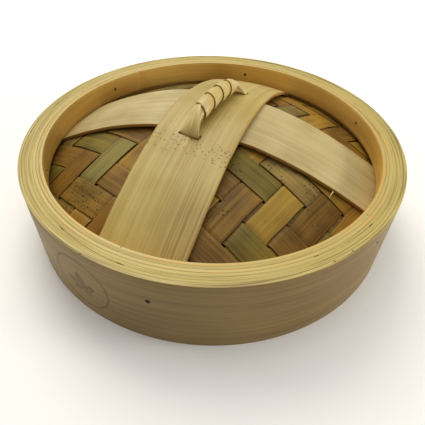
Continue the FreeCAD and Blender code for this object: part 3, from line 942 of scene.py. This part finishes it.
# --- mat -----------------------------------------------------------------------------------------------
@dataclass
class Mat:
    """A 2/2 twill of split strips that domes over the opening."""

    lid: LidFrame
    rise: float = 25.9 * MM
    power: float = 1.85
    slack: float = 0.35 * MM
    edge_room: float = 0.2 * MM
    turn: float = 70.6                # degrees from +X to the first set
    pitch: float = 14.0 * MM
    width: float = 13.0 * MM
    thickness: float = 0.74 * MM
    lift: float = 0.51 * MM
    ramp: float = 1.05 * MM
    first_shift: float = -2.7 * MM
    second_shift: float = -2.2 * MM
    width_spread: tuple[float, float] = (0.95, 1.03)
    bend: float = 0.28 * MM           # how far a strip strays sideways
    raggedness: float = 0.22 * MM     # of its split edges
    cup: tuple[float, float] = (-0.06 * MM, 0.1 * MM)
    lane_room: float = 0.1 * MM       # between an outer strip's edge and the mat's end
    each_side: int = 6
    repeat: int = 4
    over: int = 2
    segments: int = 200
    lanes: int = 7
    seed: int = 29

    # Tones of the two sets, in the order of their strips.
    first_tones: tuple[MatTone, ...] = (
        MatTone.HONEY, MatTone.BROWN, MatTone.OCHRE, MatTone.BROWN, MatTone.HONEY, MatTone.GREY,
        MatTone.ORANGE, MatTone.HONEY, MatTone.GREEN, MatTone.ORANGE, MatTone.OLIVE, MatTone.GREY,
        MatTone.BROWN)
    second_tones: tuple[MatTone, ...] = (
        MatTone.EATEN, MatTone.EATEN, MatTone.BROWN, MatTone.OLIVE, MatTone.BROWN, MatTone.OLIVE,
        MatTone.WORN, MatTone.HONEY, MatTone.BROWN, MatTone.GREEN, MatTone.ORANGE, MatTone.HONEY,
        MatTone.BROWN)

    def top(self, x: float, y: float) -> float:
        """Height of the mat's upper side.

        Args:
            x: Place across, in metres.
            y: Place along, in metres.

        Returns:
            The height, in metres.
        """
        edge = self.lid.strap_edge - STRAP_THICKNESS - self.slack
        return edge + self.rise * (1.0 - (math.hypot(x, y) / self.lid.opening) ** self.power)

    def level(self, along: float, shift: float, lies_over: Callable[[int], bool]) -> float:
        """How high a strip lies where it crosses the other set.

        Args:
            along: Place along the strip.
            shift: Where the other set's middle strip lies.
            lies_over: Whether the strip passes over a strip of the other set.

        Returns:
            1 over the other set and -1 under it, with a ramp between.
        """
        cells = (along - shift) / self.pitch
        cell = math.floor(cells + 0.5)
        past = cells - cell
        here = 1.0 if lies_over(cell) else -1.0
        there = 1.0 if lies_over(cell + (1 if past > 0.0 else -1)) else -1.0
        keep = 0.5 + 0.5 * smooth((0.5 - abs(past)) * self.pitch / self.ramp)
        return here * keep + there * (1.0 - keep)

    def strip(self, name: str, offset: float, shift: float, lies_over: Callable[[int], bool],
              degrees: float, seed: int) -> bpy.types.Object:
        """Weave one strip.

        Args:
            name: The piece's name.
            offset: Its place across its own set.
            shift: Where the other set's middle strip lies.
            lies_over: Whether it passes over a strip of the other set.
            degrees: The direction that it runs in.
            seed: Seed of its own irregularity.

        Returns:
            The strip.
        """
        chance = random.Random(seed)
        reach = self.lid.ring_outside - self.edge_room
        half = 0.5 * self.width * chance.uniform(*self.width_spread)
        stray = wander(seed, self.bend)
        left = wander(seed + 1, self.raggedness, SPLIT_WAVES)
        right = wander(seed + 2, self.raggedness, SPLIT_WAVES)
        cup = chance.uniform(*self.cup)
        spin = Matrix.Rotation(math.radians(degrees), 3, "Z")

        def place(along: float, across: float) -> Vector:
            share = (along + 1.0) / 2.0
            side = left(share) if across < 0.0 else right(share)
            lane = offset + stray(share) + across * (half + side)
            lane = min(max(lane, self.lane_room - reach), reach - self.lane_room)
            run = along * math.sqrt(reach ** 2 - lane ** 2)
            level = self.level(run, shift, lies_over)
            height = self.top(run, lane) + self.lift * (level - 1.0) + cup * across ** 2
            return spin @ Vector((run, lane, height))

        cut = Strip(name, 2.0 * reach, 2.0 * half, self.thickness, self.segments, self.lanes,
                    softening=0.1 * MM, grain_start=chance.uniform(0.0, 1.0))
        return cut.lay(place)

    def goes_over(self, first: int, second: int) -> bool:
        """Whether a strip of the first set passes over one of the second."""
        return (first + second) % self.repeat >= self.over

    def build(self) -> None:
        """Weave both sets."""
        for index, number in enumerate(range(-self.each_side, self.each_side + 1)):
            node = "mat_strip_a%02d" % (index + 1)
            strip = self.strip(node + "_woven", self.first_shift + number * self.pitch,
                               self.second_shift, lambda cell: self.goes_over(number, cell),
                               self.turn, self.seed + 10 * index)
            dress(strip, self.first_tones[index].finish().material(), Slot.MAT.value, node)
            node = "mat_strip_b%02d" % (index + 1)
            strip = self.strip(node + "_woven", -self.second_shift - number * self.pitch,
                               self.first_shift, lambda cell: not self.goes_over(cell, number),
                               self.turn + 90.0, self.seed + 10 * index + 5)
            dress(strip, self.second_tones[index].finish().material(), Slot.MAT.value, node)


# --- straps --------------------------------------------------------------------------------------------
@dataclass
class Straps:
    """The two broad straps that arch over the mat; the upper one is slit for the handle."""

    lid: LidFrame
    thickness: float = STRAP_THICKNESS
    power: float = 1.8
    crown: float = 1.2 * MM
    crown_power: float = 4.0
    edge_room: float = 0.2 * MM
    upper_half: float = 21.2 * MM
    lower_half: float = 20.2 * MM
    lower_shift: float = 2.5 * MM
    lower_turn: float = 2.5           # degrees from +X
    pinch: float = 1.9 * MM
    pinch_reach: float = 18.0 * MM
    segments: int = 130
    lanes: int = 24
    raggedness: float = 0.18 * MM
    splinter_at: float = 68.0 * MM    # along the lower strap
    splinter_run: float = 5.5 * MM
    splinter_half: float = 0.3 * MM
    splinter_thickness: float = 0.2 * MM
    splinter_root: float = 0.35 * MM  # how far inside the strap's edge it starts
    splinter_depth: float = 1.2 * MM  # under the strap's top face
    splinter_arch: float = 1.1 * MM
    splinter_bend: float = 1.2 * MM
    splinter_taper: float = 0.8

    def top(self, along: float, sideways: float, across: float, crest: float) -> float:
        """Height of a strap's top face.

        Args:
            along: Place along the strap, from the lid's middle.
            sideways: Distance from the lid's middle line.
            across: Place across the strap, from -1 to 1.
            crest: Height of its highest point.

        Returns:
            The height.
        """
        share = abs(along) / math.sqrt(self.lid.opening ** 2 - sideways ** 2)
        rise = crest - self.crown - self.lid.strap_edge
        fade = max(1.0 - share ** self.crown_power, 0.0)
        crowned = self.crown * (1.0 - across ** 2) * fade
        return self.lid.strap_edge + rise * (1.0 - share ** self.power) + crowned

    def upper_top(self, x: float, y: float) -> float:
        """Height of the upper strap's top face over a point of the lid."""
        return self.top(y, x, x / self.upper_half, self.lid.upper_strap_top)

    def strap(self, name: str, half: float, shift: float, degrees: float, crest: float,
              pinch: float, seed: int) -> bpy.types.Object:
        """Bend one strap.

        Args:
            name: The piece's name.
            half: Half of its width.
            shift: Its distance from the lid's middle line.
            degrees: The direction that it runs in.
            crest: Height of its highest point.
            pinch: How far its edges are pressed down at the crossing.
            seed: Seed of its ragged edges.

        Returns:
            The strap.
        """
        reach = self.lid.ring_outside - self.edge_room
        left = wander(seed, self.raggedness, SHAVED_WAVES)
        right = wander(seed + 1, self.raggedness, SHAVED_WAVES)
        spin = Matrix.Rotation(math.radians(degrees), 3, "Z")

        def place(along: float, across: float) -> Vector:
            share = (along + 1.0) / 2.0
            trim = left(share) if across < 0.0 else right(share)
            lane = across * (half - self.raggedness - trim) + shift
            run = along * math.sqrt(reach ** 2 - lane ** 2)
            low = pinch * across ** 2 * math.exp(-(run / self.pinch_reach) ** 2)
            return spin @ Vector((run, lane, self.top(run, lane, across, crest) - low))

        cut = Strip(name, 2.0 * reach, 2.0 * half, self.thickness, self.segments, self.lanes,
                    softening=0.2 * MM, grain_start=0.1 * seed)
        return cut.lay(place)

    def splinter(self) -> bpy.types.Object:
        """Raise the pale splinter at the lower strap's front edge."""
        edge = self.lower_shift - self.lower_half
        spin = Matrix.Rotation(math.radians(self.lower_turn), 3, "Z")
        level = self.top(self.splinter_at, edge, -1.0, self.lid.lower_strap_top) - self.splinter_depth

        def place(along: float, across: float) -> Vector:
            share = (along + 1.0) / 2.0
            slim = self.splinter_half * (1.0 - self.splinter_taper * share)
            return spin @ Vector((self.splinter_at + across * slim - self.splinter_bend * share ** 2,
                                  edge + self.splinter_root - self.splinter_run * share,
                                  level + self.splinter_arch * math.sin(math.pi * share)))

        cut = Strip("lower_strap_splinter", self.splinter_run, 2.0 * self.splinter_half,
                    self.splinter_thickness, 10, 2, softening=0.0)
        return cut.lay(place)

    def build(self, slits: bpy.types.Object) -> None:
        """Make both straps.

        Args:
            slits: The cutter for the two slits.
        """
        lower = self.strap("lower_strap_shaved", self.lower_half, self.lower_shift, self.lower_turn,
                           self.lid.lower_strap_top, self.pinch, 5)
        dress(lower, STRAP_BAMBOO.material(), Slot.STRAP.value, "lower_strap")
        dress(self.splinter(), SPLINTER_BAMBOO.material(), Slot.STRAP.value)
        upper = self.strap("upper_strap_shaved", self.upper_half, 0.0, 90.0, self.lid.upper_strap_top,
                           0.0, 8)
        apply_modifier(upper, "BOOLEAN", object=slits, operation="DIFFERENCE", solver="EXACT")
        dress(upper, UPPER_STRAP_BAMBOO.material(), Slot.STRAP.value, "upper_strap")


# --- handle --------------------------------------------------------------------------------------------
class Section(NamedTuple):
    """One cross section of the handle's core."""

    middle: Vector
    half: float                       # of its width
    depth: float                      # half of its thickness
    twist: float = 0.0


@dataclass
class Handle:
    """A strip that comes up through one slit and goes down the other, with a strip wound round it."""

    straps: Straps
    mat: Mat
    front: tuple[float, float] = (-2.4 * MM, -23.9 * MM)
    rear: tuple[float, float] = (4.0 * MM, 25.0 * MM)
    lift: float = 6.1 * MM
    lift_power: float = 5.0
    leg_offset: float = 0.6 * MM
    slit_length: float = 11.6 * MM
    slit_width: float = 3.2 * MM
    radius: float = 4.6 * MM
    binding_thickness: float = 0.75 * MM
    binding_pitch: float = 8.3 * MM
    overlap: float = 1.3 * MM
    bare_front: float = 2.1 * MM      # of the core at each foot
    bare_rear: float = 3.6 * MM
    first_turn: float = math.radians(250.0)
    tail_turns: float = 0.34          # of the binding that rises from the front foot
    tail_half: float = 2.4 * MM
    tail_bow: float = 2.3 * MM        # it clears the rounded core
    rear_flare: float = 1.2 * MM      # the core widens and twists before it goes down the rear slit
    rear_twist: float = math.tan(math.radians(27.0))
    turn_segments: int = 40
    turn_lanes: int = 9
    length_steps: int = 300           # for measuring the centre line
    probe: float = 0.05 * MM          # for its direction
    bulge: float = 0.18 * MM
    tuck: float = 0.95 * MM           # of a turn's rear edge, under the next turn
    least_radius: float = 1.2 * MM
    end_turns: float = 0.55           # over which the binding's end narrows
    end_width: float = 0.3
    end_sink: float = 0.7 * MM
    # The tail's foot and climb, each as a distance along the handle and a height over the strap.
    tail_foot: tuple[float, float] = (-2.1 * MM, 0.25 * MM)
    tail_climb: tuple[float, float] = (0.9 * MM, 3.4 * MM)
    tail_side: float = 2.8 * MM
    tail_lean: tuple[float, float] = (-0.8, 0.6)
    slit_depth: float = 12.0 * MM     # of the cutter
    core_sides: int = 28
    core_steps: int = 12              # between two sections
    core_length: float = 140.0 * MM
    core_girth: float = 20.0 * MM
    tie_room: float = 6.0 * MM        # between the turned-in ends' straight run and the feet
    tie_height: float = 0.6 * MM      # over the mat

    @property
    def span(self) -> float:
        """Distance between the two feet."""
        return math.hypot(self.rear[0] - self.front[0], self.rear[1] - self.front[1])

    @property
    def heading(self) -> float:
        """Direction from the front foot to the rear one."""
        return math.atan2(self.rear[1] - self.front[1], self.rear[0] - self.front[0])

    def point(self, distance: float, height: float) -> Vector:
        """A place in the handle's upright plane, by its distance from the front foot."""
        return Vector((self.front[0] + distance * math.cos(self.heading),
                       self.front[1] + distance * math.sin(self.heading), height))

    def strap_under(self, distance: float) -> float:
        """Height of the upper strap below a point of the handle."""
        place = self.point(distance, 0.0)
        return self.straps.upper_top(place.x, place.y)

    def lift_at(self, distance: float) -> float:
        """How far the centre line stands over the strap."""
        return self.lift * max(1.0 - abs(2.0 * distance / self.span - 1.0) ** self.lift_power, 0.0)

    def axis(self, distance: float) -> Vector:
        """A point of the bound part's centre line."""
        return self.point(distance, self.strap_under(distance) + self.lift_at(distance))

    def slits(self) -> bpy.types.Object:
        """Make the cutter for both slits, with rounded corners as a chisel leaves them."""
        cutters = []
        for distance in (-self.leg_offset, self.span + self.leg_offset):
            start_piece()
            middle = self.point(distance, self.strap_under(distance))
            bpy.ops.mesh.primitive_cube_add(size=1.0, location=middle, rotation=(0.0, 0.0, self.heading))
            cutter = bpy.context.object
            cutter.scale = (self.slit_width, self.slit_length, self.slit_depth)
            bpy.ops.object.transform_apply(location=True, rotation=True, scale=True)
            apply_modifier(cutter, "BEVEL", width=0.5 * MM, segments=3)
            cutters.append(cutter)
        return join("slits", cutters)

    def binding(self) -> bpy.types.Object:
        """Wind the strip, each turn's front edge over the rear edge of the turn before it."""
        steps = self.length_steps
        lengths = [0.0]
        last = self.axis(0.0)
        for index in range(1, steps + 1):
            here = self.axis(self.span * index / steps)
            lengths.append(lengths[-1] + (here - last).length)
            last = here
        half = (self.binding_pitch + self.overlap) / 2.0
        wound = lengths[-1] - self.bare_front - self.bare_rear - 2.0 * half
        turns = wound / self.binding_pitch

        def distance_at(length: float) -> float:
            for index in range(steps):
                if length <= lengths[index + 1]:
                    share = (length - lengths[index]) / (lengths[index + 1] - lengths[index])
                    return self.span * (index + share) / steps
            return self.span

        def place(along: float, across: float) -> Vector:
            share = (along + 1.0) / 2.0
            angle = TAU * turns * share + self.first_turn
            taper = smooth((1.0 - share) * turns / self.end_turns)
            width = half * (self.end_width + (1.0 - self.end_width) * taper)
            middle = self.bare_front + half + wound * share
            distance = distance_at(middle - across * width)
            here = self.axis(distance)
            forward = (self.axis(distance + self.probe) - self.axis(distance - self.probe)).normalized()
            side = forward.cross(Vector((0.0, 0.0, 1.0))).normalized()
            rise = side.cross(forward)
            # The front edge (across = 1) lies on the turn before; the rear edge is tucked in.
            bulge = self.bulge * (1.0 - across ** 2)
            tuck = self.tuck * (1.0 - across) / 2.0
            shrink = self.lift_at(distance) / self.lift
            radius = max((self.radius - self.bulge - tuck + bulge) * shrink, self.least_radius)
            radius -= self.end_sink * (1.0 - taper)
            wrapped = here + (rise * math.cos(angle) - side * math.sin(angle)) * radius
            risen = share * turns / self.tail_turns
            if risen >= 1.0:
                return wrapped
            # The tail comes up over the right half of the core's front face.
            ahead, up = (foot + climb * risen for foot, climb in zip(self.tail_foot, self.tail_climb))
            low = self.point(ahead, self.strap_under(0.0) + up)
            tail = low + side * (self.tail_side - across * self.tail_half)
            bow = self.point(*self.tail_lean) - self.point(0.0, 0.0)
            return tail.lerp(wrapped, smooth(risen)) + bow * (4.0 * risen * (1.0 - risen) * self.tail_bow)

        strip = Strip("handle_binding_wound", TAU * self.radius * turns, 2.0 * half,
                      self.binding_thickness, int(turns * self.turn_segments), self.turn_lanes,
                      softening=0.14 * MM)
        return strip.lay(place)

    def leg(self, rear: bool) -> list[Section]:
        """Sections of the core from one turned-in end to the middle of the handle.

        Args:
            rear: Whether it is the leg in the rear slit.

        Returns:
            The sections, in order.
        """
        flare, twist = (self.rear_flare, self.rear_twist) if rear else (0.0, 0.0)

        def spot(distance: float, over: float) -> Vector:
            along = self.span - distance if rear else distance
            return self.point(along, self.strap_under(along) + over)

        sections = []
        for share in (0.42, 0.24, 0.07):
            place = spot(share * (self.span - self.tie_room), 0.0)
            place.z = self.mat.top(place.x, place.y) + self.tie_height
            sections.append(Section(place, half=4.8 * MM, depth=0.45 * MM))
        foot, bound = -self.leg_offset, 5.0 * MM
        sections += [
            Section(spot(foot, -5.5 * MM), half=4.9 * MM, depth=0.6 * MM),
            Section(spot(foot, -1.5 * MM), half=5.5 * MM, depth=0.9 * MM),
            Section(spot(foot + 0.1 * MM, 0.8 * MM + flare), half=5.4 * MM, depth=1.3 * MM,
                    twist=0.8 * twist),
            Section(spot(1.6 * MM, 2.9 * MM), half=4.2 * MM + flare, depth=1.9 * MM - 0.5 * flare,
                    twist=twist),
            Section(spot(bound, self.lift_at(bound)), half=3.2 * MM, depth=2.6 * MM)]
        for share in (0.18, 0.3, 0.42):
            along = share * self.span
            sections.append(Section(spot(along, self.lift_at(along)), half=3.0 * MM, depth=3.0 * MM))
        return sections

    def core(self) -> bpy.types.Object:
        """Roll the core: flat in the slits, round under the binding."""
        sections = self.leg(False) + self.leg(True)[::-1]
        last = len(sections) - 1
        rings = last * self.core_steps
        heading = Vector((math.cos(self.heading), math.sin(self.heading), 0.0))
        side = heading.cross(Vector((0.0, 0.0, 1.0)))

        def between(share: float) -> Section:
            where = share * last
            index = min(int(where), last - 1)
            part = where - index
            corners = [sections[min(max(index + step, 0), last)] for step in (-1, 0, 1, 2)]
            weights = ((-part + 2 * part ** 2 - part ** 3) / 2, (2 - 5 * part ** 2 + 3 * part ** 3) / 2,
                       (part + 4 * part ** 2 - 3 * part ** 3) / 2, (-part ** 2 + part ** 3) / 2)
            middle = sum((corner.middle * weight for corner, weight in zip(corners, weights)), Vector())
            half, depth, twist = (sum(corner[item] * weight for corner, weight in zip(corners, weights))
                                  for item in (1, 2, 3))
            return Section(middle, half, depth, twist)

        core = start_grid("handle_core_rolled", rings, self.core_sides)
        mesh = core.data
        Strip(core.name, self.core_length, self.core_girth, 0.0, rings, self.core_sides).scale_grain(mesh)
        room = mesh.attributes.new(EDGE_ROOM, "FLOAT", "POINT")
        flat = [(vertex.co.x, vertex.co.y) for vertex in mesh.vertices]
        for index, (along, around) in enumerate(flat):
            share = (along + 1.0) / 2.0
            middle, half, depth, twist = between(share)
            step = 0.5 / rings
            ahead, behind = between(min(share + step, 1.0)), between(max(share - step, 0.0))
            forward = (ahead.middle - behind.middle).normalized()
            normal = side.cross(forward)
            angle = math.pi * around
            out = half * math.cos(angle)
            lifted = Vector((0.0, 0.0, -twist * out))
            mesh.vertices[index].co = middle + side * out + normal * (depth * math.sin(angle)) + lifted
            room.data[index].value = half * (1.0 - abs(math.cos(angle)))
        take(core)
        bpy.ops.object.mode_set(mode="EDIT")
        bpy.ops.mesh.select_all(action="SELECT")
        bpy.ops.mesh.remove_doubles(threshold=0.01 * MM)
        bpy.ops.mesh.select_all(action="DESELECT")
        bpy.ops.mesh.select_mode(type="EDGE")
        bpy.ops.mesh.select_non_manifold()
        bpy.ops.mesh.edge_face_add()
        bpy.ops.mesh.select_all(action="SELECT")
        bpy.ops.mesh.normals_make_consistent(inside=False)
        bpy.ops.object.mode_set(mode="OBJECT")
        return core

    def build(self) -> None:
        """Make the core and its binding."""
        dress(self.core(), BOUND_BAMBOO.material(), Slot.HANDLE.value, "handle_core")
        dress(self.binding(), BOUND_BAMBOO.material(), Slot.HANDLE.value, "handle_binding")


# --- studio --------------------------------------------------------------------------------------------
@dataclass
class Studio:
    """A pale floor, soft light and the camera."""

    eye: tuple[float, float, float] = (69.55 * MM, -173.99 * MM, 167.82 * MM)
    pitch: float = 44.366             # degrees below the horizon
    heading: float = 21.6             # degrees from +Y, to the left
    roll: float = 1.5635
    lens: float = 34.47
    aim_height: float = 0.03
    floor_side: float = 12.0
    floor_drop: float = 0.1 * MM
    room_light: float = 0.36

    def camera(self) -> None:
        """Place the camera."""
        data = bpy.data.cameras.new("camera")
        data.lens = self.lens
        data.sensor_width = 36.0
        data.sensor_fit = "HORIZONTAL"
        data.clip_start = 0.005
        camera = bpy.data.objects.new("camera", data)
        bpy.context.scene.collection.objects.link(camera)
        # A camera looks down its own -Z: tip it up from straight down, then turn it.
        turn = Matrix.Rotation(math.radians(self.heading), 4, "Z")
        tip = Matrix.Rotation(math.radians(90.0 - self.pitch), 4, "X")
        roll = Matrix.Rotation(math.radians(self.roll), 4, "Z")
        camera.matrix_world = Matrix.Translation(self.eye) @ turn @ tip @ roll
        bpy.context.scene.camera = camera

    def lamp(self, name: str, place: tuple[float, float, float], size: float, power: float,
             colour: str) -> None:
        """Hang one soft lamp that looks at the lid.

        Args:
            name: Its name.
            place: Where it hangs.
            size: Its side, in metres.
            power: Its power, in watts.
            colour: Its colour.
        """
        data = bpy.data.lights.new(name, "AREA")
        data.shape = "DISK"
        data.size = size
        data.energy = power
        data.color = linear(colour)[:3]
        lamp = bpy.data.objects.new(name, data)
        bpy.context.scene.collection.objects.link(lamp)
        aim = (Vector((0.0, 0.0, self.aim_height)) - Vector(place)).to_track_quat("-Z", "Y")
        lamp.matrix_world = Matrix.Translation(place) @ aim.to_matrix().to_4x4()

    def floor(self) -> None:
        """Lay a wide, flat, pale floor just under the lid."""
        start_piece()
        bpy.ops.mesh.primitive_plane_add(size=self.floor_side, location=(0.0, 0.0, -self.floor_drop))
        floor = bpy.context.object
        floor.name = "studio_floor"
        paint = bpy.data.materials.new("matt white board")
        paint.use_nodes = True
        shader = paint.node_tree.nodes["Principled BSDF"]
        shader.inputs["Base Color"].default_value = linear("#f4f3f0")
        shader.inputs["Roughness"].default_value = 0.9
        floor.data.materials.append(paint)
        floor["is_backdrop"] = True

    def build(self) -> None:
        """Set up the whole studio."""
        scene = bpy.context.scene
        world = bpy.data.worlds.new("soft white room")
        world.use_nodes = True
        background = world.node_tree.nodes["Background"]
        background.inputs["Color"].default_value = linear("#fffdf8")
        background.inputs["Strength"].default_value = self.room_light
        scene.world = world
        scene.view_settings.view_transform = "Standard"
        self.floor()
        self.lamp("window", (-0.5, 0.55, 1.0), 0.8, 9.0, "#fffaf0")
        self.lamp("sky", (0.05, 0.1, 1.3), 1.0, 6.0, "#ffffff")
        self.lamp("right", (0.9, 0.22, 0.16), 0.3, 5.0, "#fffdf6")
        self.lamp("left", (-0.95, -0.1, 0.16), 0.3, 2.2, "#fffdf6")
        self.camera()


def main() -> None:
    """Build the lid, piece by piece, then the studio."""
    logging.basicConfig(level=logging.INFO, format="%(name)s %(message)s")
    lid = LidFrame.read()
    pegs = Pegs(lid)
    drill = pegs.drill()
    Wall(lid).build(drill)
    bpy.data.objects.remove(drill)
    pegs.build()
    mat = Mat(lid)
    mat.build()
    straps = Straps(lid)
    handle = Handle(straps, mat)
    slits = handle.slits()
    straps.build(slits)
    bpy.data.objects.remove(slits)
    handle.build()
    Studio().build()
    boxes = {"cad": cad_box, "visual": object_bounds()}
    json.dumps({name: [list(corner) for corner in box]
                                     for name, box in boxes.items()})


if __name__ == "__main__":
    main()
